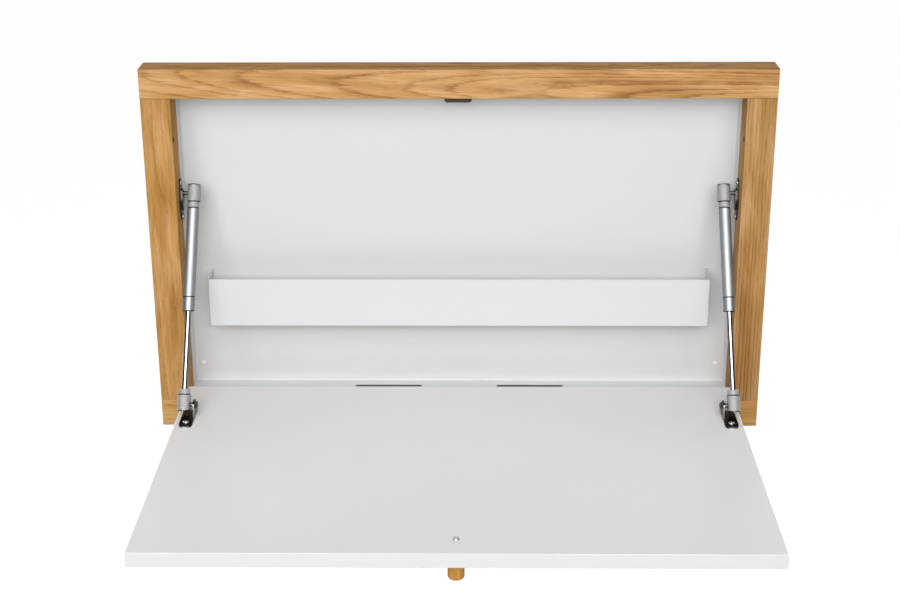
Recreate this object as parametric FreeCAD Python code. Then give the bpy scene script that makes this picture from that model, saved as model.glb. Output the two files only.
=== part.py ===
"""Wall mounted drop leaf table: an oak frame round a sheet metal pan, with a flap on two telescopic stays.

Millimetres. X runs along the wall, Y=0 is the wall with the front towards -Y, and Z=0 is the frame's mid
height. The flap is drawn level, as it stands in use. Every stay piece is drawn for the left side and
mirrored.
"""
import FreeCAD, Part
import math
import os
from FreeCAD import Vector

# Oak frame
frame_width = 800.0
frame_height = 494.0
timber_face = 38.0
timber_depth = 38.0
timber_round = 1.2
dowel_diameter = 8.0
dowel_length = 44.0
dowel_spacing = 14.0

# Sheet metal pan and tray
sheet = 1.2
bend_radius = 1.8
pan_inside_depth = 24.0
pan_flange = 18.0
pan_screw_pitch = 150.0
slot_length = 92.0
slot_width = 8.0
slot_offset = 96.5
slot_from_wall = 17.7
wall_hole_diameter = 6.0
wall_hole_side_inset = 11.0
wall_hole_low_rise = 27.0
wall_hole_high_drop = 14.0
tray_end_gap = 30.5
tray_height = 67.0
tray_depth = 42.5
tray_rise = 99.2
tray_flange = 15.0

# Flap
flap_thickness = 18.0
flap_gap = 2.0
flap_side_gap = 1.0
flap_edge_round = 0.8
knob_diameter = 19.0
knob_length = 30.0
knob_inset = 29.3
knob_round = 3.0
stop_width = 35.0
stop_height = 10.0
stop_depth = 19.0
stop_round = 4.0
stop_behind_flap = 1.0
stop_screw_spacing = 18.0

# Butt hinges
hinge_forward = 3.0
hinge_length = 60.0
hinge_leaf_width = 16.0
hinge_leaf = 0.9
hinge_knuckle_radius = 2.6
hinge_pin_radius = 1.25
hinge_inset = 91.0
hinge_knuckles = 5
hinge_screw_spacing = 20.0
hinge_screw_inset = 6.5

# Ball catches
catch_inset = 54.0
catch_ball_radius = 3.5
catch_protrusion = 1.9
catch_radius = 4.5
catch_length = 15.0
catch_wire = 0.5
catch_floor = 1.5
strike_length = 4.0
strike_play = 0.35

# Stays
stay_upper_inset = 18.3
stay_upper_depth = 28.0
stay_upper_height = 284.0
stay_lower_inset = 10.5
stay_lower_along = 87.0
stay_lower_rise = 16.0
ball_radius = 4.5
neck_radius = 2.6
shoulder_radius = 4.0
shoulder_length = 1.4
socket_radius = 8.5
socket_collar_radius = 7.3
upper_socket_above = 11.6
upper_socket_below = 11.2
upper_collar_length = 7.8
lower_socket_above = 13.4
lower_socket_below = 8.2
lower_collar_length = 6.6
tube_radius = 7.5
tube_wall = 1.3
tube_head = 4.0
cap_length = 19.5
cap_plug = 5.0
cap_groove = 0.6
rod_radius = 3.5
rod_spare = 21.5
rod_grip = 8.0
piston_length = 8.0
piston_rest = 2.0
edge_break = 0.8
clip_wire_radius = 0.5
clip_from_end = 1.7
clip_loop_radius = 1.9

# Brackets
bracket_sheet = 2.0
upper_bracket_up = 20.0
upper_bracket_down = 37.0
upper_bracket_middle = 8.5
upper_bracket_end_radius = 6.0
upper_bracket_low_screw = 4.5
upper_bracket_radius = 10.0
upper_boss_height = 1.8
upper_boss_inset = 2.5
upper_boss_above = 3.0
upper_boss_below = 20.0
lower_bracket_side = 12.0
foot_width = 17.0
foot_ahead = 26.0
foot_screw_ahead = 22.0
foot_rear_screw_inset = 5.0
upright_ahead = 7.0
upright_behind = 17.0
upright_above = 4.2
upright_top_behind = 8.0
upright_corner = 3.0
nut_height = 3.2
nut_across_flats = 8.5

# Screws: the heads' and shanks' radii
pan_screw_head = 3.4
pan_screw_head_height = 1.9
pan_screw_shank = 1.75
pan_screw_length = 16.0
stop_screw_head = 3.2
stop_screw_shank = 1.75
stop_screw_length = 22.0
hinge_screw_head = 2.7
hinge_screw_shank = 1.5
hinge_screw_length = 12.0
bracket_screw_head = 3.6
bracket_screw_head_height = 1.8
bracket_screw_shank = 1.75
bracket_screw_length = 14.0
knob_screw_head = 4.0
knob_screw_head_height = 2.2
knob_screw_shank = 2.0
knob_screw_grip = 18.0

# Clearances
running = 0.05
seat = 0.02
open_pivot_gap = 0.35
neck_proud = 0.45

# Derived planes
front_y = -(sheet + pan_inside_depth + timber_depth)
oak_rear_y = front_y + timber_depth
pan_face_y = -sheet
half_width = frame_width / 2
opening_half = half_width - timber_face
tray_half_width = opening_half - tray_end_gap
bottom_z = -frame_height / 2
top_z = frame_height / 2
rail_top_z = bottom_z + timber_face
opening_top_z = top_z - timber_face
opening_height = opening_top_z - rail_top_z

hinge_y = front_y - hinge_forward
hinge_z = rail_top_z + flap_gap / 2
flap_rear_y = hinge_y - flap_gap / 2
flap_bottom_z = hinge_z + hinge_forward
flap_top_z = flap_bottom_z + flap_thickness
flap_mid_z = flap_bottom_z + flap_thickness / 2
flap_length = opening_height - 2 * flap_gap
flap_front_y = flap_rear_y - flap_length
flap_half = opening_half - flap_side_gap

outboard = Vector(-1, 0, 0)
inboard = Vector(1, 0, 0)

nodes = {}


def box(x0, x1, y0, y1, z0, z1):
    return Part.makeBox(x1 - x0, y1 - y0, z1 - z0, Vector(x0, y0, z0))


def turned(profile):
    """A solid of revolution about Z from (radius, height) points that start and end on the axis."""
    points = [Vector(r, 0, z) for r, z in profile]
    face = Part.Face(Part.makePolygon(points + points[:1]))
    return face.revolve(Vector(0, 0, 0), Vector(0, 0, 1), 360)


def cylinder(start, direction, radius, length):
    return Part.makeCylinder(radius, length, start, direction)


def ball(centre, radius, axis):
    """A sphere whose poles lie along axis, so that a neck or bore on that axis meets it in a circle."""
    return Part.makeSphere(radius, centre, axis)


def placed(shape, origin, z_axis, x_towards):
    """The shape moved so that its Z runs along z_axis and its X points towards x_towards."""
    z = Vector(z_axis).normalize()
    x = (x_towards - z * x_towards.dot(z)).normalize()
    y = z.cross(x)
    rows = [x.x, y.x, z.x, origin.x, x.y, y.y, z.y, origin.y, x.z, y.z, z.z, origin.z, 0, 0, 0, 1]
    matrix = FreeCAD.Matrix(*rows)
    moved = shape.copy()
    moved.Placement = FreeCAD.Placement(matrix) * shape.Placement
    return moved


def mirrored(shape):
    return shape.mirror(Vector(0, 0, 0), Vector(1, 0, 0))


def edges_where(shape, test):
    """The straight edges whose middle point and direction pass the test."""
    found = []
    for edge in shape.Edges:
        if isinstance(edge.Curve, Part.Line):
            ends = [v.Point for v in edge.Vertexes]
            if test((ends[0] + ends[1]) * 0.5, (ends[1] - ends[0]).normalize()):
                found.append(edge)
    return found


def rounded(shape, radius, test):
    return shape.makeFillet(radius, edges_where(shape, test))


def both_sides(name, shape):
    nodes["left_" + name] = shape
    nodes["right_" + name] = mirrored(shape)


def shut(point):
    """Where a point on the level flap lies once the flap is shut."""
    return Vector(point.x, hinge_y + (point.z - hinge_z), hinge_z - (point.y - hinge_y))


# Fasteners: each is drawn with its head at the origin and its shank along Z, and comes with its own hole.


def cross_recess(width, depth):
    arm = box(-width / 2, width / 2, -width / 10, width / 10, 0, depth)
    return arm.fuse(box(-width / 10, width / 10, -width / 2, width / 2, 0, depth))


def countersunk(head_radius, shank_radius, length, clearance=0.0):
    cone = head_radius - shank_radius
    outer = shank_radius + clearance
    profile = [
        (0, -clearance),
        (head_radius + clearance, -clearance),
        (head_radius + clearance, 0.1),
        (outer, cone + 0.1),
        (outer, length - shank_radius),
        (0, length + clearance),
    ]
    if clearance:
        return turned(profile)
    profile[0:2] = [(0, 0), (head_radius, 0)]
    return turned(profile).cut(cross_recess(head_radius, cone * 0.6))


def pan_head(head_radius, head_height, shank_radius, length, clearance=0.0):
    if clearance:
        outer = shank_radius + clearance
        return turned([(0, 0), (outer, 0), (outer, length - shank_radius), (0, length + clearance)])
    shoulder = head_radius * 0.75
    profile = [
        (0, -head_height),
        (shoulder, -head_height),
        (head_radius, -head_height * 0.45),
        (head_radius, 0),
        (shank_radius, 0),
        (shank_radius, length - shank_radius),
        (0, length),
    ]
    recess = cross_recess(head_radius, head_height * 0.6)
    recess.translate(Vector(0, 0, -head_height))
    return turned(profile).cut(recess)


def driven(make, sizes, positions, direction, x_towards):
    """The same screw at each position, as (group of screws, list of their holes)."""
    screws = [placed(make(*sizes), p, direction, x_towards) for p in positions]
    holes = [placed(make(*sizes, clearance=seat), p, direction, x_towards) for p in positions]
    return screws, holes


# Oak frame


def timber(x0, x1, z0, z1, along):
    stick = box(x0, x1, front_y, oak_rear_y, z0, z1)
    return rounded(stick, timber_round, lambda middle, line: abs(line.dot(along)) > 0.9)


def corner_dowels():
    """Two dowels across each of the four joints between post and rail."""
    dowels = []
    middle_y = front_y + timber_depth / 2
    for side in (-1, 1):
        x = side * (half_width - timber_face / 2)
        for joint_z in (rail_top_z, opening_top_z):
            for step in (-1, 1):
                start = Vector(x, middle_y + step * dowel_spacing / 2, joint_z - dowel_length / 2)
                dowels.append(cylinder(start, Vector(0, 0, 1), dowel_diameter / 2, dowel_length))
    return dowels


def dowel_holes():
    """The dowels' holes, a little wider and longer than the dowels."""
    return [
        cylinder(
            Vector(dowel.BoundBox.Center.x, dowel.BoundBox.Center.y, dowel.BoundBox.ZMin - running),
            Vector(0, 0, 1),
            dowel_diameter / 2 + running,
            dowel_length + 2 * running,
        )
        for dowel in corner_dowels()
    ]


# Pan and tray


def pan_screw_places():
    """Centres of the screws through the pan's flange, which lies on the oak's rear."""
    flange_y = oak_rear_y + sheet
    reach_x = opening_half + pan_flange / 2
    reach_z = opening_height / 2 + pan_flange / 2
    places = []
    for level in (-1, 1):
        for step in (-2, -1, 0, 1, 2):
            places.append(Vector(step * pan_screw_pitch, flange_y, level * reach_z))
    for side in (-1, 1):
        for step in (-1, 0, 1):
            places.append(Vector(side * reach_x, flange_y, step * pan_screw_pitch))
    return places


def wall_hole_places():
    low = rail_top_z + wall_hole_low_rise
    high = opening_top_z - wall_hole_high_drop
    reach = opening_half - wall_hole_side_inset
    return [Vector(side * reach, 0, z) for side in (-1, 1) for z in (low, high)]


def cable_slot(centre_x):
    """An obround through the pan's floor, its length along X."""
    straight = slot_length - slot_width
    middle_y = -slot_from_wall
    low, high = rail_top_z - 2 * sheet, rail_top_z + sheet
    cut = box(
        centre_x - straight / 2,
        centre_x + straight / 2,
        middle_y - slot_width / 2,
        middle_y + slot_width / 2,
        low,
        high,
    )
    for end in (-1, 1):
        centre = Vector(centre_x + end * straight / 2, middle_y, low)
        cut = cut.fuse(cylinder(centre, Vector(0, 0, 1), slot_width / 2, high - low))
    return cut


def back_pan():
    """A tray of folded sheet, open to the front, with a flange turned out on the oak's rear."""
    inner = box(-opening_half, opening_half, oak_rear_y, pan_face_y, rail_top_z, opening_top_z)
    inner = rounded(inner, bend_radius, lambda middle, line: abs(middle.y - pan_face_y) < 0.1)
    outer = box(
        -opening_half - sheet,
        opening_half + sheet,
        oak_rear_y,
        0,
        rail_top_z - sheet,
        opening_top_z + sheet,
    )
    outer = rounded(outer, bend_radius + sheet, lambda middle, line: abs(middle.y) < 0.1)
    flange = box(
        -opening_half - pan_flange,
        opening_half + pan_flange,
        oak_rear_y,
        oak_rear_y + sheet,
        rail_top_z - pan_flange,
        opening_top_z + pan_flange,
    )
    pan = outer.fuse(flange).cut(inner)
    for place in wall_hole_places():
        start = place + Vector(0, -2 * sheet, 0)
        pan = pan.cut(cylinder(start, Vector(0, 1, 0), wall_hole_diameter / 2, 4 * sheet))
    for centre_x in (-slot_offset, slot_offset):
        pan = pan.cut(cable_slot(centre_x))
    return pan.cut(pan_holes).removeSplitter()


def tray():
    """Front wall, base and two ends of folded sheet, with the ends turned out flat on the pan."""
    front = pan_face_y - tray_depth
    low = rail_top_z + tray_rise
    high = low + tray_height
    outer = box(-tray_half_width, tray_half_width, front, pan_face_y, low, high)
    outer = rounded(
        outer,
        bend_radius,
        lambda middle, line: abs(middle.y - front) < 0.1 and middle.z < high - 0.1,
    )
    inner = box(
        -tray_half_width + sheet,
        tray_half_width - sheet,
        front + sheet,
        pan_face_y + sheet,
        low + sheet,
        high + sheet,
    )
    shell = outer.cut(inner)
    for side in (-1, 1):
        near, far = side * (tray_half_width - sheet), side * (tray_half_width + tray_flange)
        shell = shell.fuse(box(min(near, far), max(near, far), pan_face_y - sheet, pan_face_y, low, high))
    return shell.removeSplitter()


# Flap and what it carries


def flap_stop():
    """A moulded block under the top rail that the shut flap's inner face meets."""
    near = front_y + flap_thickness + stop_behind_flap
    low = opening_top_z - stop_height
    block = box(-stop_width / 2, stop_width / 2, near, near + stop_depth, low, opening_top_z)
    block = rounded(
        block,
        stop_round,
        lambda middle, line: abs(line.y) > 0.9 and abs(middle.z - low) < 0.1,
    )
    return block.cut(stop_holes)


def knob():
    """A turned knob below the flap with a rounded free end and a blind hole for its screw."""
    radius = knob_diameter / 2
    body = cylinder(Vector(0, knob_y, flap_bottom_z), Vector(0, 0, -1), radius, knob_length)
    rim = [e for e in body.Edges if abs(e.BoundBox.Center.z - (flap_bottom_z - knob_length)) < 0.1]
    return body.makeFillet(knob_round, rim[:1]).cut(knob_holes)


def catch_centre(inward=0.0):
    """Centre of the left catch's ball, moved inwards from its rest by the given amount."""
    x = -flap_half + catch_ball_radius - catch_protrusion + inward
    return Vector(x, flap_front_y + catch_inset, flap_mid_z)


def catch_housing():
    """A plain barrel let into the flap's edge, whose lip holds the ball in."""
    start = Vector(-flap_half, flap_front_y + catch_inset, flap_mid_z)
    barrel = cylinder(start, Vector(1, 0, 0), catch_radius, catch_length)
    room = catch_ball_radius + running
    bore_length = catch_length - (catch_ball_radius - catch_protrusion) - catch_floor
    bore = cylinder(catch_centre(), Vector(1, 0, 0), room, bore_length)
    return barrel.cut(bore.fuse(ball(catch_centre(), room, inboard)))


def catch_spring():
    """A short helix between the ball's rear and the bottom of the barrel."""
    radius = catch_ball_radius - 2 * catch_wire
    start = math.sqrt(catch_ball_radius**2 - radius**2) + catch_wire + 0.4
    bottom = catch_length - (catch_ball_radius - catch_protrusion) - catch_floor
    length = bottom - start - catch_wire - 0.3
    turns = 4
    helix = Part.makeHelix(length / turns, length, radius)
    circle = Part.Wire(Part.makeCircle(catch_wire, Vector(radius, 0, 0), Vector(0, 1, 0)))
    coil = Part.Wire(helix).makePipeShell([circle], True, True)
    return placed(coil, catch_centre(start), Vector(1, 0, 0), Vector(0, 0, 1))


def catch_strike():
    """A cup let into the post, flush with its face, that the ball drops into when the flap is shut."""
    centre = shut(catch_centre())
    face = Vector(-opening_half, centre.y, centre.z)
    cup = cylinder(face, Vector(-1, 0, 0), catch_radius, strike_length)
    return cup.cut(ball(centre, catch_ball_radius + strike_play, outboard))


def strike_hole():
    centre = shut(catch_centre())
    start = Vector(-opening_half, centre.y, centre.z)
    return cylinder(start, Vector(-1, 0, 0), catch_radius + seat, strike_length + seat)


# Butt hinges: the frame leaf lies on the bottom rail, the flap leaf on the flap's rear edge.


def hinge_barrel(centre_x, own):
    """The knuckles numbered in own, as one shape."""
    pitch = hinge_length / hinge_knuckles
    barrel = []
    for number in own:
        start = Vector(centre_x - hinge_length / 2 + number * pitch + running, hinge_y, hinge_z)
        barrel.append(cylinder(start, Vector(1, 0, 0), hinge_knuckle_radius, pitch - 2 * running))
    return barrel


def hinge_bore(centre_x):
    start = Vector(centre_x - hinge_length, hinge_y, hinge_z)
    return cylinder(start, Vector(1, 0, 0), hinge_pin_radius + running, 2 * hinge_length)


def hinge_leaf_shape(centre_x, own, holes):
    """One leaf lying flat on the rail: plate, tabs and knuckles."""
    low = rail_top_z
    high = rail_top_z + hinge_leaf
    plate_start = hinge_y + hinge_knuckle_radius + 0.5
    plate_end = front_y + hinge_leaf_width
    leaf = box(centre_x - hinge_length / 2, centre_x + hinge_length / 2, plate_start, plate_end, low, high)
    for knuckle in hinge_barrel(centre_x, own):
        b = knuckle.BoundBox
        leaf = leaf.fuse(knuckle).fuse(box(b.XMin, b.XMax, hinge_y, plate_start, low, high))
    leaf = leaf.cut(hinge_bore(centre_x))
    return leaf.cut(holes).removeSplitter()


def flipped_on_flap(shape):
    """A shape on the rail's top turned over and round the pin, so that it lies on the flap's rear edge."""
    turned_over = shape.mirror(Vector(0, 0, hinge_z), Vector(0, 0, 1))
    turned_over.rotate(Vector(0, hinge_y, hinge_z), Vector(1, 0, 0), 90)
    return turned_over


def hinge_pin(centre_x):
    head = hinge_pin_radius * 1.6
    shank = cylinder(
        Vector(centre_x - hinge_length / 2, hinge_y, hinge_z), Vector(1, 0, 0), hinge_pin_radius, hinge_length
    )
    for end in (-1, 1):
        start = Vector(centre_x + end * hinge_length / 2, hinge_y, hinge_z)
        shank = shank.fuse(cylinder(start, Vector(end, 0, 0), head, hinge_pin_radius * 0.6))
    return shank


# Stays: local Z runs down the stay from the upper ball, and local X towards that end's stud.

upper_ball = Vector(
    -(opening_half - stay_upper_inset),
    front_y + stay_upper_depth,
    rail_top_z + stay_upper_height,
)
lower_ball = Vector(
    -(opening_half - stay_lower_inset),
    flap_rear_y - stay_lower_along,
    flap_top_z + stay_lower_rise,
)
open_length = upper_ball.distanceToPoint(lower_ball)
shut_length = upper_ball.distanceToPoint(shut(lower_ball))
stroke = open_length - shut_length
stay_axis = (lower_ball - upper_ball).normalize()

tube_start = upper_socket_below + upper_collar_length
lower_reach = lower_socket_above + lower_collar_length
cap_end = shut_length - lower_reach - rod_spare
cap_start = cap_end - cap_length
tube_bore = tube_radius - tube_wall
piston_end = cap_start - cap_plug - piston_rest
collar_top = open_length - lower_reach
upper_clip_height = clip_from_end - upper_socket_above
lower_clip_height = open_length + lower_socket_below - clip_from_end


def on_stay(shape, x_towards):
    return placed(shape, upper_ball, stay_axis, x_towards)


def ball_cavity(height):
    """The seat of a ball and the way in for its neck, from the side that local X points to."""
    room = ball_radius + running
    centre = Vector(0, 0, height)
    way_in = cylinder(centre, Vector(1, 0, 0), room, socket_radius + 1)
    return ball(centre, room, Vector(1, 0, 0)).fuse(way_in)


def clip_groove(height):
    ring = Part.makeTorus(socket_radius - clip_wire_radius * 0.4, clip_wire_radius + running)
    ring.translate(Vector(0, 0, height))
    return ring


def socket_clip(height, loop_height=None):
    """A wire ring in the socket's groove, with a tail and a pull loop past the socket's end if asked for."""
    ring_radius = socket_radius - clip_wire_radius * 0.4
    clip = Part.makeTorus(ring_radius, clip_wire_radius)
    clip.translate(Vector(0, 0, height))
    if loop_height is None:
        return clip
    out = socket_radius + clip_wire_radius + running
    # The drawn down tail is thinner than the rings and starts past the first one's middle
    tail_start = Vector(0, out, height - clip_wire_radius * 0.6)
    tail = cylinder(tail_start, Vector(0, 0, 1), clip_wire_radius * 0.9, loop_height - tail_start.z)
    loop = Part.makeTorus(clip_loop_radius, clip_wire_radius)
    loop.translate(Vector(0, out - clip_loop_radius, loop_height))
    return clip.fuse(tail).fuse(loop)


def upper_socket():
    r, collar = socket_radius, socket_collar_radius
    body = turned([
        (0, -upper_socket_above),
        (r - edge_break, -upper_socket_above),
        (r, -upper_socket_above + edge_break),
        (r, upper_socket_below - edge_break / 2),
        (collar, upper_socket_below),
        (collar, tube_start - edge_break),
        (collar - edge_break, tube_start),
        (0, tube_start),
    ])
    body = body.cut(ball_cavity(0)).cut(clip_groove(upper_clip_height))
    return on_stay(body, outboard)


def upper_ball_and_neck():
    """The ball half of the upper stud, which stays in its socket. The stay's linkage is open at its end."""
    neck = cylinder(Vector(0, 0, 0), Vector(1, 0, 0), neck_radius, socket_radius + neck_proud)
    return on_stay(ball(Vector(0, 0, 0), ball_radius, Vector(1, 0, 0)).fuse(neck), outboard)


def tube():
    r = tube_radius
    body = turned([
        (0, tube_start),
        (r - edge_break, tube_start),
        (r, tube_start + edge_break),
        (r, cap_start),
        (tube_bore, cap_start),
        (tube_bore, tube_start + tube_head),
        (0, tube_start + tube_head),
    ])
    return on_stay(body, outboard)


def tube_cap():
    """The guide that closes the tube's lower end, with the rod running through it."""
    r, bore, plug = tube_radius, rod_radius + running, tube_bore - seat
    body = turned([
        (bore, cap_start - cap_plug),
        (plug, cap_start - cap_plug),
        (plug, cap_start),
        (r - cap_groove, cap_start),
        (r - cap_groove, cap_start + cap_groove),
        (r, cap_start + cap_groove),
        (r, cap_end - edge_break),
        (r - edge_break, cap_end),
        (bore, cap_end),
    ])
    return on_stay(body, outboard)


def piston():
    bore = rod_radius + seat
    body = turned([
        (bore, piston_end - piston_length),
        (tube_bore - running, piston_end - piston_length),
        (tube_bore - running, piston_end),
        (bore, piston_end),
    ])
    return on_stay(body, outboard)


def rod():
    top = piston_end - piston_length - 1.0
    length = collar_top + rod_grip - top
    return on_stay(cylinder(Vector(0, 0, top), Vector(0, 0, 1), rod_radius, length), outboard)


def lower_socket():
    r, collar = socket_radius, socket_collar_radius
    shoulder = open_length - lower_socket_above
    end = open_length + lower_socket_below
    body = turned([
        (0, collar_top),
        (collar - edge_break, collar_top),
        (collar, collar_top + edge_break),
        (collar, shoulder),
        (r, shoulder + edge_break),
        (r, end - edge_break),
        (r - edge_break, end),
        (0, end),
    ])
    grip = cylinder(Vector(0, 0, collar_top - 1), Vector(0, 0, 1), rod_radius + seat, rod_grip + 1 + seat)
    body = body.cut(ball_cavity(open_length)).cut(clip_groove(lower_clip_height)).cut(grip)
    return on_stay(body, inboard)


# Brackets and studs


def link_outline(circles):
    """A flat outline round a row of circles given as (along, radius), joined by their outer tangents."""
    left, right = [], []
    for (a0, r0), (a1, r1) in zip(circles, circles[1:]):
        lean = math.asin((r0 - r1) / (a1 - a0))
        for a, r in ((a0, r0), (a1, r1)):
            right.append((r * math.cos(lean), a + r * math.sin(lean)))
            left.append((-r * math.cos(lean), a + r * math.sin(lean)))
    return right, left


def link_plate(circles, thickness):
    """A plate round a row of circles along Y, standing on the XY plane."""
    right, left = link_outline(circles)
    points = [Vector(x, a, 0) for x, a in right] + [Vector(x, a, 0) for x, a in reversed(left)]
    plate = Part.Face(Part.makePolygon(points + points[:1])).extrude(Vector(0, 0, thickness))
    for along, radius in circles:
        plate = plate.fuse(cylinder(Vector(0, along, 0), Vector(0, 0, 1), radius, thickness))
    return plate.removeSplitter()


def upper_bracket():
    """A lozenge on the post's inner face with a raised middle that carries the stud."""
    end, wide = upper_bracket_end_radius, upper_bracket_radius
    top, bottom = upper_bracket_up - end, -upper_bracket_down + end
    plate = link_plate([(bottom, end), (-upper_bracket_middle, wide), (top, end)], bracket_sheet)
    narrow, broad = end - upper_boss_inset, wide - upper_boss_inset
    raised = link_plate(
        [(-upper_boss_below, narrow), (-upper_bracket_middle, broad), (upper_boss_above, narrow)],
        upper_boss_height,
    )
    raised.translate(Vector(0, 0, bracket_sheet))
    origin = Vector(-opening_half, upper_ball.y, upper_ball.z)
    plate = placed(plate.fuse(raised), origin, inboard, Vector(0, 1, 0))
    return plate.cut(upper_bracket_holes).cut(upper_stud_hole())


def upper_bracket_screw_places():
    x = -opening_half + bracket_sheet
    top = upper_ball.z + upper_bracket_up - upper_bracket_end_radius
    bottom = upper_ball.z - upper_bracket_down + upper_bracket_low_screw
    return [Vector(x, upper_ball.y, z) for z in (top, bottom)]


def upper_stud_hole():
    start = Vector(-opening_half - 1, upper_ball.y, upper_ball.z)
    return cylinder(start, inboard, neck_radius + seat, 2 * bracket_sheet + upper_boss_height)


def upper_stud():
    """The shank half of the upper stud, riveted in the bracket, that ends just short of the ball's neck."""
    face = -opening_half + bracket_sheet + upper_boss_height
    tip = upper_ball.x - socket_radius - neck_proud - open_pivot_gap
    place = Vector(-opening_half, upper_ball.y, upper_ball.z)
    shank = cylinder(place, inboard, neck_radius, tip + opening_half)
    shoulder = cylinder(place + Vector(face + opening_half, 0, 0), inboard, shoulder_radius, shoulder_length)
    return shank.fuse(shoulder)


bracket_side_x = -(opening_half - stay_lower_inset) + lower_bracket_side
foot_centre_x = bracket_side_x + bracket_sheet - foot_width / 2


def lower_bracket():
    """An angle bracket: a foot on the flap with a round front end, and an upright that carries the stud."""
    foot_front = lower_ball.y - foot_ahead
    foot_rear = lower_ball.y + upright_behind
    foot = box(
        foot_centre_x - foot_width / 2,
        foot_centre_x + foot_width / 2,
        foot_front,
        foot_rear,
        flap_top_z,
        flap_top_z + bracket_sheet,
    )
    nose = cylinder(
        Vector(foot_centre_x, foot_front, flap_top_z), Vector(0, 0, 1), foot_width / 2, bracket_sheet
    )
    top = stay_lower_rise + upright_above
    outline = [
        Vector(-upright_ahead, 0, 0),
        Vector(-upright_ahead, top, 0),
        Vector(upright_top_behind, top, 0),
        Vector(upright_behind, 0, 0),
    ]
    upright = Part.Face(Part.makePolygon(outline + outline[:1])).extrude(Vector(0, 0, bracket_sheet))
    upright = rounded(
        upright, upright_corner, lambda middle, line: abs(line.z) > 0.9 and middle.y > top - 0.1
    )
    upright = placed(upright, Vector(bracket_side_x, lower_ball.y, flap_top_z), inboard, Vector(0, 1, 0))
    bracket = foot.fuse(nose).fuse(upright)
    return bracket.cut(lower_bracket_holes).cut(lower_stud_hole()).removeSplitter()


def lower_bracket_screw_places():
    z = flap_top_z + bracket_sheet
    return [
        Vector(foot_centre_x, lower_ball.y - foot_screw_ahead, z),
        Vector(foot_centre_x, lower_ball.y + upright_behind - foot_rear_screw_inset, z),
    ]


def lower_stud_hole():
    start = Vector(bracket_side_x - 1, lower_ball.y, lower_ball.z)
    return cylinder(start, inboard, neck_radius + seat, bracket_sheet + 2)


def lower_stud():
    """Ball, neck, shoulder and threaded end, from the socket through the upright to its nut."""
    reach = bracket_side_x + bracket_sheet + nut_height + 1.0 - lower_ball.x
    shank = cylinder(lower_ball, inboard, neck_radius, reach)
    shoulder_start = Vector(bracket_side_x - shoulder_length, lower_ball.y, lower_ball.z)
    shoulder = cylinder(shoulder_start, inboard, shoulder_radius, shoulder_length)
    return ball(lower_ball, ball_radius, inboard).fuse(shank).fuse(shoulder)


def lower_nut():
    radius = nut_across_flats / math.sqrt(3)
    corners = [
        Vector(radius * math.cos(math.radians(60 * k)), radius * math.sin(math.radians(60 * k)), 0)
        for k in range(6)
    ]
    nut = Part.Face(Part.makePolygon(corners + corners[:1])).extrude(Vector(0, 0, nut_height))
    nut = nut.cut(cylinder(Vector(0, 0, -1), Vector(0, 0, 1), neck_radius + seat, nut_height + 2))
    start = Vector(bracket_side_x + bracket_sheet, lower_ball.y, lower_ball.z)
    return placed(nut, start, inboard, Vector(0, 0, 1))


# Screws and their holes come first, because the pieces they pass through are cut by them.

pan_screw = (pan_screw_head, pan_screw_head_height, pan_screw_shank, pan_screw_length)
stop_screw = (stop_screw_head, stop_screw_shank, stop_screw_length)
hinge_screw = (hinge_screw_head, hinge_screw_shank, hinge_screw_length)
bracket_screw = (bracket_screw_head, bracket_screw_head_height, bracket_screw_shank, bracket_screw_length)
knob_screw = (knob_screw_head, knob_screw_head_height, knob_screw_shank, flap_thickness + knob_screw_grip)

pan_screws, pan_holes = driven(pan_head, pan_screw, pan_screw_places(), Vector(0, -1, 0), inboard)

stop_screw_places = [
    Vector(
        side * stop_screw_spacing / 2,
        front_y + flap_thickness + stop_behind_flap + stop_depth / 2,
        opening_top_z - stop_height,
    )
    for side in (-1, 1)
]
stop_screws, stop_holes = driven(countersunk, stop_screw, stop_screw_places, Vector(0, 0, 1), inboard)

hinge_screw_y = front_y + hinge_leaf_width - hinge_screw_inset
hinge_centres = [-(flap_half - hinge_inset), 0.0, flap_half - hinge_inset]
rail_screw_places = [
    Vector(centre_x + step * hinge_screw_spacing, hinge_screw_y, rail_top_z + hinge_leaf)
    for centre_x in hinge_centres
    for step in (-1, 0, 1)
]
rail_screws, rail_holes = driven(countersunk, hinge_screw, rail_screw_places, Vector(0, 0, -1), inboard)
flap_hinge_screws = [flipped_on_flap(s) for s in rail_screws]
flap_hinge_holes = [flipped_on_flap(s) for s in rail_holes]

knob_y = flap_front_y + knob_inset
knob_screws, knob_holes = driven(
    pan_head, knob_screw, [Vector(0, knob_y, flap_top_z)], Vector(0, 0, -1), inboard
)

upper_bracket_screws, upper_bracket_holes = driven(
    pan_head, bracket_screw, upper_bracket_screw_places(), outboard, Vector(0, 0, 1)
)
lower_bracket_screws, lower_bracket_holes = driven(
    pan_head, bracket_screw, lower_bracket_screw_places(), Vector(0, 0, -1), inboard
)


# Oak frame
dowels = corner_dowels()
dowel_bores = dowel_holes()
x_line, z_line = Vector(1, 0, 0), Vector(0, 0, 1)
top_rail = timber(-half_width, half_width, opening_top_z, top_z, x_line)
bottom_rail = timber(-half_width, half_width, bottom_z, rail_top_z, x_line)
left_post = timber(-half_width, -opening_half, rail_top_z, opening_top_z, z_line)
nodes["top_rail"] = top_rail.cut(dowel_bores + pan_holes + stop_holes)
nodes["bottom_rail"] = bottom_rail.cut(dowel_bores + pan_holes + rail_holes)
post_cuts = dowel_bores + pan_holes + upper_bracket_holes + [strike_hole()]
nodes["left_post"] = left_post.cut(post_cuts)
nodes["right_post"] = mirrored(left_post).cut(
    dowel_bores + pan_holes + [mirrored(h) for h in upper_bracket_holes + [strike_hole()]]
)
nodes["frame_dowels"] = Part.makeCompound(dowels)

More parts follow.
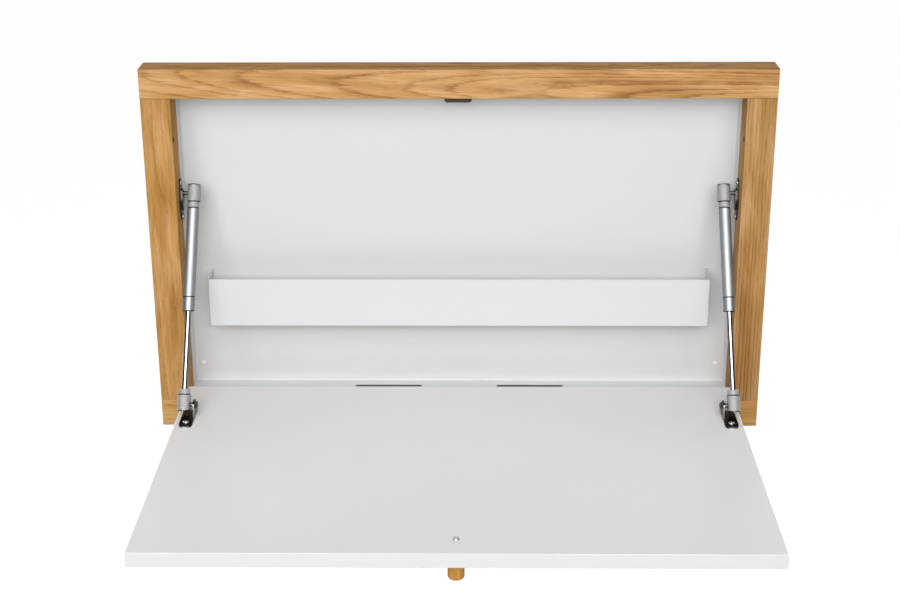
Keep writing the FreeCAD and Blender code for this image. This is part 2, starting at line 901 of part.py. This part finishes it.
# Pan, tray and stop
nodes["back_pan"] = back_pan()
nodes["pan_screws"] = Part.makeCompound(pan_screws)
nodes["tray"] = tray()
nodes["flap_stop"] = flap_stop()
nodes["flap_stop_screws"] = Part.makeCompound(stop_screws)

# Flap
panel = box(-flap_half, flap_half, flap_front_y, flap_rear_y, flap_bottom_z, flap_top_z)
panel = rounded(panel, flap_edge_round, lambda middle, line: True)
catch_bore = cylinder(
    Vector(-flap_half - 1, flap_front_y + catch_inset, flap_mid_z),
    inboard,
    catch_radius + seat,
    catch_length + 1,
)
panel = panel.cut(flap_hinge_holes + knob_holes + lower_bracket_holes + [catch_bore])
nodes["flap_panel"] = panel.cut([mirrored(h) for h in lower_bracket_holes + [catch_bore]])
nodes["knob"] = knob()
nodes["knob_screw"] = Part.makeCompound(knob_screws)

# Hinges
for place, centre_x in zip(("left", "middle", "right"), hinge_centres):
    frame_leaf = hinge_leaf_shape(centre_x, (0, 2, 4), rail_holes)
    flap_leaf = flipped_on_flap(hinge_leaf_shape(centre_x, (1, 3), rail_holes))
    nodes[place + "_hinge_frame_leaf"] = frame_leaf
    nodes[place + "_hinge_flap_leaf"] = flap_leaf
nodes["hinge_pins"] = Part.makeCompound([hinge_pin(x) for x in hinge_centres])
nodes["hinge_rail_screws"] = Part.makeCompound(rail_screws)
nodes["hinge_flap_screws"] = Part.makeCompound(flap_hinge_screws)

# Catches
both_sides("catch_housing", catch_housing())
both_sides("catch_ball", ball(catch_centre(), catch_ball_radius, inboard))
both_sides("catch_spring", catch_spring())
both_sides("catch_strike", catch_strike())

# Stays
both_sides("upper_bracket", upper_bracket())
both_sides("upper_stud", upper_stud())
both_sides("upper_ball", upper_ball_and_neck())
both_sides("upper_socket", upper_socket())
both_sides("upper_clip", on_stay(socket_clip(upper_clip_height), outboard))
both_sides("stay_tube", tube())
both_sides("tube_cap", tube_cap())
both_sides("piston", piston())
both_sides("stay_rod", rod())
both_sides("lower_socket", lower_socket())
loop_height = open_length + lower_socket_below + 2 * clip_wire_radius
both_sides("lower_clip", on_stay(socket_clip(lower_clip_height, loop_height), inboard))
both_sides("lower_stud", lower_stud())
both_sides("lower_bracket", lower_bracket())
upper_screws = upper_bracket_screws + [mirrored(s) for s in upper_bracket_screws]
lower_screws = lower_bracket_screws + [mirrored(s) for s in lower_bracket_screws]
nodes["upper_bracket_screws"] = Part.makeCompound(upper_screws)
nodes["lower_bracket_screws"] = Part.makeCompound(lower_screws)
nodes["lower_stud_nuts"] = Part.makeCompound([lower_nut(), mirrored(lower_nut())])

os.makedirs("parts", exist_ok=True)
for name, shape in nodes.items():
    shape.exportStep("parts/" + name + ".step")
print(len(nodes), "nodes; stay", round(open_length, 2), "open and", round(shut_length, 2), "shut")
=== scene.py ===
"""Looks for the wall mounted drop leaf table: oiled oak, white powder coat and lacquer, and bright stays."""

import math

import bpy
from mathutils import Matrix, Vector


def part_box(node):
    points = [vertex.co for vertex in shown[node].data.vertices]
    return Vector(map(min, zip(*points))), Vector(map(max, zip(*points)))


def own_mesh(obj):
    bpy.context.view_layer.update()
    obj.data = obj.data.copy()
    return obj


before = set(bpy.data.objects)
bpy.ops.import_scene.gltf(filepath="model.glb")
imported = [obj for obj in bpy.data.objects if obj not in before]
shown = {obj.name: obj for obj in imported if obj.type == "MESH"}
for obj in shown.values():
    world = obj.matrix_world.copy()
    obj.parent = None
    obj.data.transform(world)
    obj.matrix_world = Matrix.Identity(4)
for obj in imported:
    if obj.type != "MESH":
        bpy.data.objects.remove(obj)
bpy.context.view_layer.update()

MM = 0.001


def colour(code):
    """An sRGB hex code as the linear colour that a shader takes."""
    channels = [int(code[i : i + 2], 16) / 255 for i in (1, 3, 5)]
    linear = [c / 12.92 if c <= 0.04045 else ((c + 0.055) / 1.055) ** 2.4 for c in channels]
    return (*linear, 1.0)


def add(tree, kind, inputs=None, stops=None, **settings):
    """Adds a shader node. Inputs are values or outputs to link, and stops a ramp's places and colours."""
    node = tree.nodes.new("ShaderNode" + kind)
    for name, value in settings.items():
        setattr(node, name, value)
    for key, value in (inputs or {}).items():
        if isinstance(value, bpy.types.NodeSocket):
            tree.links.new(value, node.inputs[key])
        else:
            node.inputs[key].default_value = value
    if stops:
        elements = node.color_ramp.elements
        while len(elements) < len(stops):
            elements.new(0.5)
        for element, (place, code) in zip(elements, stops):
            element.position = place
            element.color = colour(code)
    return node


def per_mm(lengths):
    """The scale of a pattern in mm that has those lengths."""
    return [1 / length for length in lengths]


def finish_of(name, **surface):
    """A material with its surface shader, as (material, node tree, shader)."""
    material = bpy.data.materials.new(name)
    material.use_nodes = True
    tree = material.node_tree
    tree.nodes.clear()
    shader = add(tree, "BsdfPrincipled", surface)
    add(tree, "OutputMaterial", {"Surface": shader.outputs["BSDF"]})
    return material, tree, shader


def dress(material, *names):
    """Puts the material on those pieces of the frame."""
    for name in names:
        piece = shown[name]
        piece.data.materials.clear()
        piece.data.materials.append(material)


# Oak, sawn square, sanded and oiled: growth rings cut open by the faces, open pores that
# show as short dark dashes along the grain, and a low sheen.

# Lengths of the wood's patterns in mm, along the grain and across it both ways
RING_WANDER = (170, 30, 30)
FIBRE = (70, 1.9, 1.9)
LIGHT_AND_DARK = (90, 13, 13)
# Pores are 0.2 to 0.3 mm wide: drawn 0.8 mm wide, so that they show
PORE = (9, 0.8, 0.8)
# Wide and narrow years take turns: mm of growth in a turn, and the most years that it moves a ring
GROWTH_CHANGE = 7.7
YEARS_MOVED = 2.2
# How far the fibres fray a ring's line, as a share of a year's growth
FRAY = 0.6
# A patch of heartwood is this many times as long as it is wide
STREAK_LENGTH = 7
# A year's ring, from its open early wood to its dense late wood: white is where it is darkest
YEAR = [
    (0.0, "#606060"),
    (0.09, "#ffffff"),
    (0.28, "#8c8c8c"),
    (0.56, "#262626"),
    (0.9, "#121212"),
    (1.0, "#606060"),
]
# The wood between the ring lines, from its darker patches to its lighter ones
GROUND = [(0.30, "#bd8c4c"), (0.48, "#cf9f62"), (0.70, "#deb179")]


def oak(
    node,
    name,
    along,
    heart,
    spacing,
    contrast,
    slope=0.0,
    drift=3.0,
    slant=0.0,
    streaks=(),
    tone=0.0,
    richness=1.0,
):
    """Oak on one stick, with its grain along X or Z. Heart is where the tree's pith lies behind and beside
    the stick's middle, spacing is a year's growth, and drift is how far the rings wander, all in mm. Slope
    is how the pith leans along the stick, and slant turns the grain, in degrees. Contrast is that of the
    ring lines, tone lightens the wood, and richness deepens its colour.
    Each streak is a patch of darker heartwood: (mm along, mm across, its reach in mm, strength)."""
    material, tree, shader = finish_of(name, **{"Roughness": 0.62, "Specular IOR Level": 0.04})
    low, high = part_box(node)
    where = add(tree, "TexCoord").outputs
    centred = add(
        tree, "VectorMath", {0: where["Object"], 1: (low + high) / 2}, operation="SUBTRACT"
    ).outputs[0]
    turn = (0, math.radians({"x": 0, "z": 90}[along] + slant), 0)
    # From here the grain lies along X, in mm from the stick's middle
    grain = add(tree, "Mapping", {"Vector": centred, "Rotation": turn, "Scale": [1 / MM] * 3}).outputs[0]
    # Each stick is cut from its own place in the pattern
    seed = sum(map(ord, name)) * 37.0
    own = add(tree, "VectorMath", {0: grain, 1: (seed, 0, 0)}, operation="ADD").outputs[0]
    slow_place = add(tree, "VectorMath", {0: own, 1: per_mm(RING_WANDER)}, operation="MULTIPLY").outputs[0]
    slow = add(
        tree, "TexNoise", {"Vector": slow_place, "Scale": 1.0, "Detail": 2.0, "Roughness": 0.4}
    ).outputs[0]
    parts = add(tree, "SeparateXYZ", {0: grain}).outputs
    pith = add(tree, "Math", {0: parts[0], 1: slope, 2: -heart[0]}, operation="MULTIPLY_ADD").outputs[0]
    behind = add(tree, "Math", {0: parts[1], 1: pith}, operation="ADD").outputs[0]
    beside = add(tree, "Math", {0: parts[2], 1: -heart[1]}, operation="ADD").outputs[0]
    flat = add(tree, "CombineXYZ", {1: behind, 2: beside}).outputs[0]
    radius = add(tree, "VectorMath", {0: flat}, operation="LENGTH").outputs["Value"]
    fibre_place = add(tree, "VectorMath", {0: own, 1: per_mm(FIBRE)}, operation="MULTIPLY").outputs[0]
    fibre = add(
        tree, "TexNoise", {"Vector": fibre_place, "Scale": 1.0, "Detail": 3.0, "Roughness": 0.6}
    ).outputs[0]
    smooth = add(tree, "Math", {0: slow, 1: 2 * drift, 2: radius}, operation="MULTIPLY_ADD").outputs[0]
    wander = add(tree, "Math", {0: fibre, 1: FRAY * spacing, 2: smooth}, operation="MULTIPLY_ADD").outputs[0]
    years_place = add(tree, "CombineXYZ", {0: wander, 1: seed}).outputs[0]
    season = add(
        tree, "TexNoise", {"Vector": years_place, "Scale": 1 / GROWTH_CHANGE, "Detail": 1.0}
    ).outputs[0]
    counted = add(tree, "Math", {0: wander, 1: 1 / spacing}, operation="MULTIPLY").outputs[0]
    rings = add(tree, "Math", {0: season, 1: YEARS_MOVED, 2: counted}, operation="MULTIPLY_ADD").outputs[0]
    year = add(tree, "Math", {0: rings}, operation="FRACT").outputs[0]
    line = add(tree, "ValToRGB", {"Fac": year}, stops=YEAR).outputs[0]
    broad_place = add(
        tree, "VectorMath", {0: own, 1: per_mm(LIGHT_AND_DARK)}, operation="MULTIPLY"
    ).outputs[0]
    broad = add(
        tree,
        "TexNoise",
        {"Vector": broad_place, "Scale": 1.0, "Detail": 3.0, "Roughness": 0.55, "Distortion": 0.6},
    ).outputs[0]
    ground = add(tree, "ValToRGB", {"Fac": broad}, stops=GROUND).outputs[0]
    # Ring lines are strong in the darker parts of the board and fade in the lighter ones
    patchy = add(
        tree, "MapRange", {"Value": broad, "From Min": 0.62, "From Max": 0.36, "To Min": 0.3}
    ).outputs[0]
    strength = add(tree, "Math", {0: patchy, 1: contrast}, operation="MULTIPLY").outputs[0]
    by_line = add(tree, "Math", {0: strength, 1: line}, operation="MULTIPLY").outputs[0]
    wood = add(tree, "MixRGB", {"Fac": by_line, 1: ground, 2: colour("#94642f")}).outputs[0]
    by_fibre = add(
        tree, "MapRange", {"Value": fibre, "From Min": 0.42, "From Max": 0.70, "To Max": 0.42}
    ).outputs[0]
    wood = add(tree, "MixRGB", {"Fac": by_fibre, 1: wood, 2: colour("#a4733c")}).outputs[0]
    for at, side, size, force in streaks:
        offset = add(tree, "VectorMath", {0: grain, 1: (at, 0, side)}, operation="SUBTRACT").outputs[0]
        shape = (1 / size, 0, STREAK_LENGTH / size)
        scaled = add(tree, "VectorMath", {0: offset, 1: shape}, operation="MULTIPLY").outputs[0]
        far = add(tree, "VectorMath", {0: scaled}, operation="LENGTH").outputs["Value"]
        ragged = add(tree, "Math", {0: broad, 1: -1.1, 2: far}, operation="MULTIPLY_ADD").outputs[0]
        near = add(
            tree, "MapRange", {"Value": ragged, "From Min": 0.5, "From Max": -0.4, "To Max": force}
        ).outputs[0]
        lined = add(tree, "MapRange", {"Value": line, "To Min": 0.35}).outputs[0]
        by_streak = add(tree, "Math", {0: near, 1: lined}, operation="MULTIPLY").outputs[0]
        wood = add(tree, "MixRGB", {"Fac": by_streak, 1: wood, 2: colour("#7f5022")}).outputs[0]
    pore_place = add(tree, "VectorMath", {0: own, 1: per_mm(PORE)}, operation="MULTIPLY").outputs[0]
    pore = add(tree, "TexNoise", {"Vector": pore_place, "Scale": 1.0, "Detail": 1.0}).outputs[0]
    early = add(tree, "MapRange", {"Value": line, "To Min": 0.25}).outputs[0]
    opened = add(tree, "MapRange", {"Value": pore, "From Min": 0.60, "From Max": 0.68}).outputs[0]
    pitted = add(tree, "Math", {0: early, 1: opened}, operation="MULTIPLY").outputs[0]
    by_pore = add(tree, "Math", {0: pitted, 1: 0.5}, operation="MULTIPLY").outputs[0]
    wood = add(tree, "MixRGB", {"Fac": by_pore, 1: wood, 2: colour("#70481f")}).outputs[0]
    # Sawn ends drink more oil and are darker
    facing = add(tree, "SeparateXYZ", {0: where["Normal"]}).outputs[{"x": 0, "z": 2}[along]]
    end = add(tree, "Math", {0: facing}, operation="ABSOLUTE").outputs[0]
    sawn = add(tree, "MapRange", {"Value": end, "From Min": 0.6, "From Max": 0.9, "To Max": 0.35}).outputs[0]
    wood = add(tree, "MixRGB", {"Fac": sawn, 1: wood, 2: colour("#8a5c30")}).outputs[0]
    toned = add(
        tree, "HueSaturation", {"Saturation": richness, "Value": 1.0 + tone, "Color": wood}
    ).outputs[0]
    tree.links.new(toned, shader.inputs["Base Color"])
    height = add(tree, "Math", {0: pitted, 1: -1.0, 2: fibre}, operation="MULTIPLY_ADD").outputs[0]
    bump = add(tree, "Bump", {"Height": height, "Strength": 0.5, "Distance": 0.12 * MM}).outputs[0]
    tree.links.new(bump, shader.inputs["Normal"])
    dress(material, node)


oak(
    "top_rail",
    "oiled_oak_top_rail",
    "x",
    heart=(15, -5),
    spacing=4.0,
    contrast=1.1,
    slope=0.046,
    drift=1.5,
    slant=-3.0,
    streaks=[
        (275, 4, 75, 0.85),
        (186, 24.5, 26, 0.9),
        (-108, -6, 40, 0.5),
        (-277, -12.5, 34, 0.5),
        (-22, -4, 40, 0.6),
        (350, 33, 18, 0.8),
    ],
    tone=0.02,
    richness=0.97,
)
oak(
    "bottom_rail",
    "oiled_oak_bottom_rail",
    "x",
    heart=(0, -70),
    spacing=2.8,
    contrast=0.6,
    streaks=[(410, 0, 160, 0.45)],
)
oak(
    "left_post",
    "oiled_oak_left_post",
    "z",
    heart=(12, -6),
    spacing=4.2,
    contrast=0.4,
    slope=0.03,
    drift=5.0,
    tone=-0.145,
    richness=1.02,
)
oak(
    "right_post",
    "oiled_oak_right_post",
    "z",
    heart=(6, 55),
    spacing=4.2,
    contrast=0.85,
    streaks=[(-165, 1, 150, 1.0), (-72, 6, 60, 0.7)],
    tone=-0.18,
    richness=0.98,
)
oak("knob", "turned_oak_knob", "z", heart=(-30, 5), spacing=2.4, contrast=0.5, tone=0.09, richness=1.07)
oak("frame_dowels", "dowel_oak", "z", heart=(0, 40), spacing=2.2, contrast=0.2)


# Powder coat on folded sheet: a satin white skin with the faint orange peel that baking leaves.


def coat(name, code, roughness, peel, depth):
    """White coat whose orange peel has that spacing and depth in mm. Its sheen varies over some 70 mm."""
    material, tree, shader = finish_of(name, **{"Base Color": colour(code), "Roughness": roughness})
    place = add(tree, "TexCoord").outputs["Object"]
    ripple = add(tree, "TexNoise", {"Vector": place, "Scale": 1 / (peel * MM), "Detail": 1.5}).outputs[0]
    broad = add(tree, "TexNoise", {"Vector": place, "Scale": 1 / (70 * MM), "Detail": 2.0}).outputs[0]
    sheen = add(
        tree, "MapRange", {"Value": broad, "To Min": roughness - 0.04, "To Max": roughness + 0.05}
    ).outputs[0]
    bump = add(tree, "Bump", {"Height": ripple, "Strength": 0.35, "Distance": depth * MM}).outputs[0]
    tree.links.new(sheen, shader.inputs["Roughness"])
    tree.links.new(bump, shader.inputs["Normal"])
    return material


powder_coat = coat("white_powder_coat", "#d7d9da", 0.42, 1.6, 0.04)
dress(powder_coat, "back_pan", "tray")

# Lacquer sprayed on board: smoother and a little glossier than the powder coat.
lacquer = coat("white_satin_lacquer", "#e9e9e9", 0.33, 2.4, 0.02)
dress(lacquer, "flap_panel")


# Bare and plated metals. The marks of drawing, turning or casting run the way the tool went.

# A line of shadow in a join, and how far its edges blur in mm
SHADOW = colour("#242322")
BLUR = 0.1


def metal(
    name,
    code,
    roughness,
    marks=(1, 1, 1),
    spacing=0.4,
    depth=0.01,
    tint=None,
    rim="#ffffff",
    sheared_edge_highlight=None,
    bands=(),
):
    """A metal with fine marks of that spacing and depth in mm. Marks stretches them along X, Y or Z, tint is
    a second colour in patches, rim is its tint at a grazing angle, and sheared_edge_highlight is the colour
    of faces turned to the front: bare trimmed edges, and a painted highlight where the front lamp catches
    them. Each band is a painted line of shadow round a turned piece: (a point where it starts, the way the
    axis runs, width in mm)."""
    material, tree, shader = finish_of(
        name,
        **{"Base Color": colour(code), "Metallic": 1.0, "Roughness": roughness, "Specular Tint": colour(rim)},
    )
    where = add(tree, "TexCoord").outputs
    place = where["Object"]
    scaled = add(
        tree, "Mapping", {"Vector": place, "Scale": [1 / (spacing * m * MM) for m in marks]}
    ).outputs[0]
    grit = add(tree, "TexNoise", {"Vector": scaled, "Scale": 1.0, "Detail": 2.0}).outputs[0]
    rough = add(
        tree, "MapRange", {"Value": grit, "To Min": roughness * 0.75, "To Max": roughness * 1.25}
    ).outputs[0]
    bump = add(tree, "Bump", {"Height": grit, "Strength": 0.3, "Distance": depth * MM}).outputs[0]
    tree.links.new(rough, shader.inputs["Roughness"])
    tree.links.new(bump, shader.inputs["Normal"])
    mixed = None
    if tint:
        patches = add(tree, "TexNoise", {"Vector": place, "Scale": 1 / (5.5 * MM), "Detail": 2.0}).outputs[0]
        blend = add(tree, "MapRange", {"Value": patches, "From Min": 0.4, "From Max": 0.65}).outputs[0]
        mixed = add(tree, "MixRGB", {"Fac": blend, 1: colour(code), 2: colour(tint)}).outputs[0]
        # Faces turned to the front take this colour: bare trimmed edges, and a painted highlight where the
        # front lamp catches them
        if sheared_edge_highlight:
            ahead = add(tree, "SeparateXYZ", {0: where["Normal"]}).outputs[1]
            front_highlight_mask = add(tree, "MapRange", {"Value": ahead, "From Min": -0.75, "From Max": -0.95}).outputs[0]
            mixed = add(tree, "MixRGB", {"Fac": front_highlight_mask, 1: mixed, 2: colour(sheared_edge_highlight)}).outputs[0]
    # Each band is a painted line of shadow where one piece of the stay meets the next
    for start, way, width in bands:
        offset = add(tree, "VectorMath", {0: place, 1: start}, operation="SUBTRACT").outputs[0]
        run = add(tree, "VectorMath", {0: offset, 1: way / MM}, operation="DOT_PRODUCT").outputs["Value"]
        off = add(tree, "Math", {0: run, 1: -width / 2}, operation="ADD").outputs[0]
        off = add(tree, "Math", {0: off}, operation="ABSOLUTE").outputs[0]
        edge = {"From Min": width / 2 + BLUR, "From Max": width / 2 - BLUR}
        inside = add(tree, "MapRange", {"Value": off, **edge}).outputs[0]
        mixed = add(tree, "MixRGB", {"Fac": inside, 1: mixed or colour(code), 2: SHADOW}).outputs[0]
    if mixed:
        tree.links.new(mixed, shader.inputs["Base Color"])
    return material


# Keeps what shows from the side, so that one line serves both stays
SIDE_ON = Vector((0, 1, 1))


def joins(*spans):
    """Lines of shadow round both stays at their joins: (mm below the upper ball's middle, width in mm)."""
    ends = ("left_upper_ball", "left_lower_stud")
    upper, lower = (sum(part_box(name), Vector()) / 2 * SIDE_ON for name in ends)
    way = (lower - upper).normalized()
    return [(upper + way * at * MM, way, width) for at, width in spans]


def both(*names):
    """Those pieces on the left side and the right."""
    return [side + "_" + name for side in ("left", "right") for name in names]


# The joins of a stay are 0.3 to 0.6 mm wide: their shadows are drawn wider, so that they show
tube_joins = joins((19.0, 1.2))
cap_joins = joins((134.2, 1.4), (152.7, 1.0))
socket_joins = joins((-11.7, 1.0), (10.6, 1.3), (259.3, 1.3), (280.4, 1.2))
DRAWN = (1, 1, 30)
dress(
    metal("satin_drawn_steel", "#adafb1", 0.56, marks=DRAWN, rim="#6c6c6c", bands=tube_joins),
    *both("stay_tube"),
)
dress(
    metal("satin_turned_steel", "#a6a8aa", 0.52, marks=DRAWN, rim="#6c6c6c", bands=cap_joins),
    *both("tube_cap"),
)
dress(
    metal("blasted_die_cast_zinc", "#b4b4b3", 0.78, spacing=0.8, depth=0.03, bands=socket_joins),
    *both("upper_socket", "lower_socket"),
)
dress(
    metal("hard_chromed_steel", "#a2a4a6", 0.13, marks=(1, 1, 20), depth=0.0002, rim="#606060"),
    *both("stay_rod"),
)
dress(metal("spring_wire", "#a8a8a8", 0.28), *both("upper_clip", "lower_clip", "catch_spring"))
# The brackets' brown patches are partly the plating's own warm tone and partly a painted reflection of the
# oak beside them. Their front faces carry a painted highlight, pale on the lower brackets' bare trimmed
# edges.
dress(
    metal("black_nickel", "#25211e", 0.28, spacing=0.9, depth=0.02, tint="#3d3027", sheared_edge_highlight="#57524b"),
    *both("upper_bracket"),
)
dress(
    metal(
        "black_nickel_with_painted_edge_highlight",
        "#242321",
        0.28,
        spacing=0.9,
        depth=0.02,
        tint="#372f28",
        sheared_edge_highlight="#c0bdb8",
    ),
    *both("lower_bracket"),
)
dress(metal("ball_steel", "#4c4c4d", 0.20), *both("upper_stud", "upper_ball", "lower_stud", "catch_ball"))
dress(
    metal("bright_zinc", "#c6c8ca", 0.28, spacing=0.6, depth=0.02, tint="#b9bcb4"),
    "upper_bracket_screws",
    "lower_bracket_screws",
    "knob_screw",
    "pan_screws",
    "flap_stop_screws",
    "hinge_rail_screws",
    "hinge_flap_screws",
)
dress(metal("black_zinc_nut", "#4b4a49", 0.35), "lower_stud_nuts")
hinge_leaves = [
    place + "_hinge_" + leaf
    for place in ("left", "middle", "right")
    for leaf in ("frame_leaf", "flap_leaf")
]
dress(
    metal("zinc_plated_strip", "#a9a9a6", 0.35, marks=(20, 1, 1)),
    *hinge_leaves,
    "hinge_pins",
)
dress(metal("satin_brass", "#a9844c", 0.34), *both("catch_housing"))
dress(metal("burnt_brass", "#2c2218", 0.55), *both("catch_strike"))


# Moulded nylon: matt and slightly grained, from a spark eroded mould.


def moulded(name, code, roughness):
    """Nylon of that colour, with a grain of 0.6 mm."""
    material, tree, shader = finish_of(name, **{"Base Color": colour(code), "Roughness": roughness})
    place = add(tree, "TexCoord").outputs["Object"]
    grain = add(tree, "TexNoise", {"Vector": place, "Scale": 1 / (0.6 * MM), "Detail": 2.0}).outputs[0]
    bump = add(tree, "Bump", {"Height": grain, "Strength": 0.4, "Distance": 0.03 * MM}).outputs[0]
    tree.links.new(bump, shader.inputs["Normal"])
    return material


dress(moulded("brown_nylon", "#3a2916", 0.5), "flap_stop")
dress(moulded("black_nylon", "#1c1c1c", 0.45), *both("piston"))

# Each catch spring gets a mesh of its own
for side, inner in (("left", 1), ("right", 0)):
    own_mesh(shown[side + "_catch_spring"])


# Studio: white all round, a pale floor, soft lamps ahead of the table, above it and behind it on both sides,
# two black flags, and the wall where it shows through the pan's holes and slots. Sizes are in metres.

FLOOR_Z = -0.94
FLOOR_REACH = 6.0
FLAG_X = 1.5
FLAG_CORNERS = [(-1.9, -0.9), (0.3, -0.9), (0.3, 1.3), (-1.9, 1.3)]


def white_to_the_eye(tree, plain, seen):
    """A mix of two shaders: seen where a ray comes from the camera, a reflection or a pane, and plain
    elsewhere."""
    path = add(tree, "LightPath").outputs
    shows = path["Is Camera Ray"]
    for ray in ("Is Glossy Ray", "Is Transmission Ray"):
        shows = add(tree, "Math", {0: shows, 1: path[ray]}, operation="MAXIMUM").outputs[0]
    return add(tree, "MixShader", {0: shows, 1: plain, 2: seen}).outputs[0]


def bare_tree(owner):
    """The empty node tree of a material or a world."""
    owner.use_nodes = True
    owner.node_tree.nodes.clear()
    return owner.node_tree


def clear_behind(tree, front):
    """Shows a sheet's front side and leaves its back clear."""
    clear = add(tree, "BsdfTransparent").outputs[0]
    behind = add(tree, "NewGeometry").outputs["Backfacing"]
    sides = add(tree, "MixShader", {0: behind, 1: front, 2: clear}).outputs[0]
    add(tree, "OutputMaterial", {"Surface": sides})


def sheet_of(name, corners, material):
    """A flat sheet of the studio, which is no part of the table."""
    mesh = bpy.data.meshes.new(name)
    mesh.from_pydata(corners, [], [tuple(range(len(corners)))])
    mesh.materials.append(material)
    sheet = bpy.data.objects.new(name, mesh)
    bpy.context.scene.collection.objects.link(sheet)
    return sheet


def studio():
    """White air, and a pale floor that keeps the table's shadow."""
    world = bpy.data.worlds.new("studio_air")
    bpy.context.scene.world = world
    tree = bare_tree(world)
    air = add(tree, "Background", {"Color": colour("#ffffff"), "Strength": 0.14}).outputs[0]
    seen = add(tree, "Background", {"Color": colour("#ffffff"), "Strength": 1.0}).outputs[0]
    add(tree, "OutputWorld", {"Surface": white_to_the_eye(tree, air, seen)})

    material = bpy.data.materials.new("pale_studio_floor")
    tree = bare_tree(material)
    paint = add(tree, "BsdfDiffuse", {"Color": colour("#f2f2f2")}).outputs[0]
    thin = add(tree, "BsdfDiffuse", {"Color": colour("#5a5a5a")}).outputs[0]
    glow = add(tree, "Emission", {"Color": colour("#ffffff"), "Strength": 0.975}).outputs[0]
    lit = add(tree, "AddShader", {0: thin, 1: glow}).outputs[0]
    clear_behind(tree, white_to_the_eye(tree, paint, lit))
    ways = ((-1, -1), (1, -1), (1, 1), (-1, 1))
    corners = [(FLOOR_REACH * x, FLOOR_REACH * y, FLOOR_Z) for x, y in ways]
    sheet_of("studio_floor", corners, material)


def card(name, corners, code, hidden_from):
    """A sheet painted plain, clear from behind, and hidden from those kinds of ray."""
    material = bpy.data.materials.new(name + "_paint")
    tree = bare_tree(material)
    clear_behind(tree, add(tree, "BsdfDiffuse", {"Color": colour(code)}).outputs[0])
    sheet = sheet_of(name, corners, material)
    for ray in hidden_from:
        setattr(sheet, "visible_" + ray, False)


def flags():
    """Black flags at the sides, which draw dark edges on round metal and shade nothing."""
    hidden_from = ("camera", "diffuse", "transmission", "shadow")
    for name, side in (("left_black_flag", -1), ("right_black_flag", 1)):
        corners = [(FLAG_X * side, y, z) for y, z in FLAG_CORNERS]
        card(name, corners[::-side], "#2e2e2e", hidden_from)


def wall():
    """The wall that the pan hangs on: white behind the screw holes, and dark grey behind the slots, painted
    shade for the deep shade in the gap behind the rail. It shows only through them, and leaves the light on
    the pan's back as it is."""
    hidden_from = ("diffuse", "glossy", "shadow")
    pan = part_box("back_pan")[1]
    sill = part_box("bottom_rail")[1].z
    inside = 20 * MM
    behind = 0.4 * MM
    slot_reach = 200 * MM
    holes = (pan.x - inside, pan.y + behind, sill + 10 * MM, pan.z - inside)
    slots = (slot_reach, pan.y, sill - 14 * MM, sill - 1 * MM)
    for name, place, code in (
        ("wall_behind_the_holes", holes, "#f2f2f2"),
        # Dark grey: painted shade of the gap behind the rail
        ("wall_painted_shade_behind_the_slots", slots, "#6e6e6e"),
    ):
        reach, y, bottom, top = place
        corners = [(-reach, y, bottom), (reach, y, bottom), (reach, y, top), (-reach, y, top)]
        card(name, corners, code, hidden_from)


def softbox(name, place, width, height, watts, aim=(0, 0, 0), grid=180):
    """A soft lamp pointed at aim. Grid is the angle in degrees that its honeycomb lets through."""
    lamp = bpy.data.lights.new(name, "AREA")
    lamp.shape = "RECTANGLE"
    lamp.size, lamp.size_y, lamp.energy = width, height, watts
    lamp.spread = math.radians(grid)
    box = bpy.data.objects.new(name, lamp)
    bpy.context.scene.collection.objects.link(box)
    box.location = place
    box.visible_camera = False
    box.rotation_euler = (Vector(aim) - Vector(place)).to_track_quat("-Z", "Y").to_euler()


def camera(place, focal_length, shift, yaw, pitch, roll):
    """A camera at that place, turned by those angles in radians, with its focal length in mm."""
    lens = bpy.data.cameras.new("camera")
    lens.sensor_width = 36.0
    lens.lens = focal_length
    lens.shift_y = shift
    lens.clip_start, lens.clip_end = 0.05, 50.0
    eye = bpy.data.objects.new("camera", lens)
    bpy.context.scene.collection.objects.link(eye)
    turn = Matrix.Rotation(yaw, 4, "Z") @ Matrix.Rotation(math.pi / 2 + pitch, 4, "X")
    eye.matrix_world = Matrix.Translation(place) @ turn @ Matrix.Rotation(roll, 4, "Z")
    bpy.context.scene.camera = eye


studio()
flags()
wall()
softbox("front_softbox", place=(-0.25, -3.0, 1.2), width=3.4, height=1.1, watts=61.5)
softbox(
    "overhead_softbox",
    place=(0, -0.9, 0.6),
    width=1.7,
    height=0.6,
    watts=2.4,
    aim=(0, -0.08, -0.2),
    grid=80,
)
for side, x in (("left", -2.0), ("right", 2.0)):
    softbox(side + "_back_softbox", place=(x, 1.9, 0.2), width=1.2, height=1.2, watts=27)
camera(
    place=(0.01723, -1.95809, 0.72839),
    focal_length=62.59,
    shift=-0.10,
    yaw=0.0147,
    pitch=-0.3422,
    roll=-0.0047,
)
bpy.context.scene.view_settings.view_transform = "Standard"
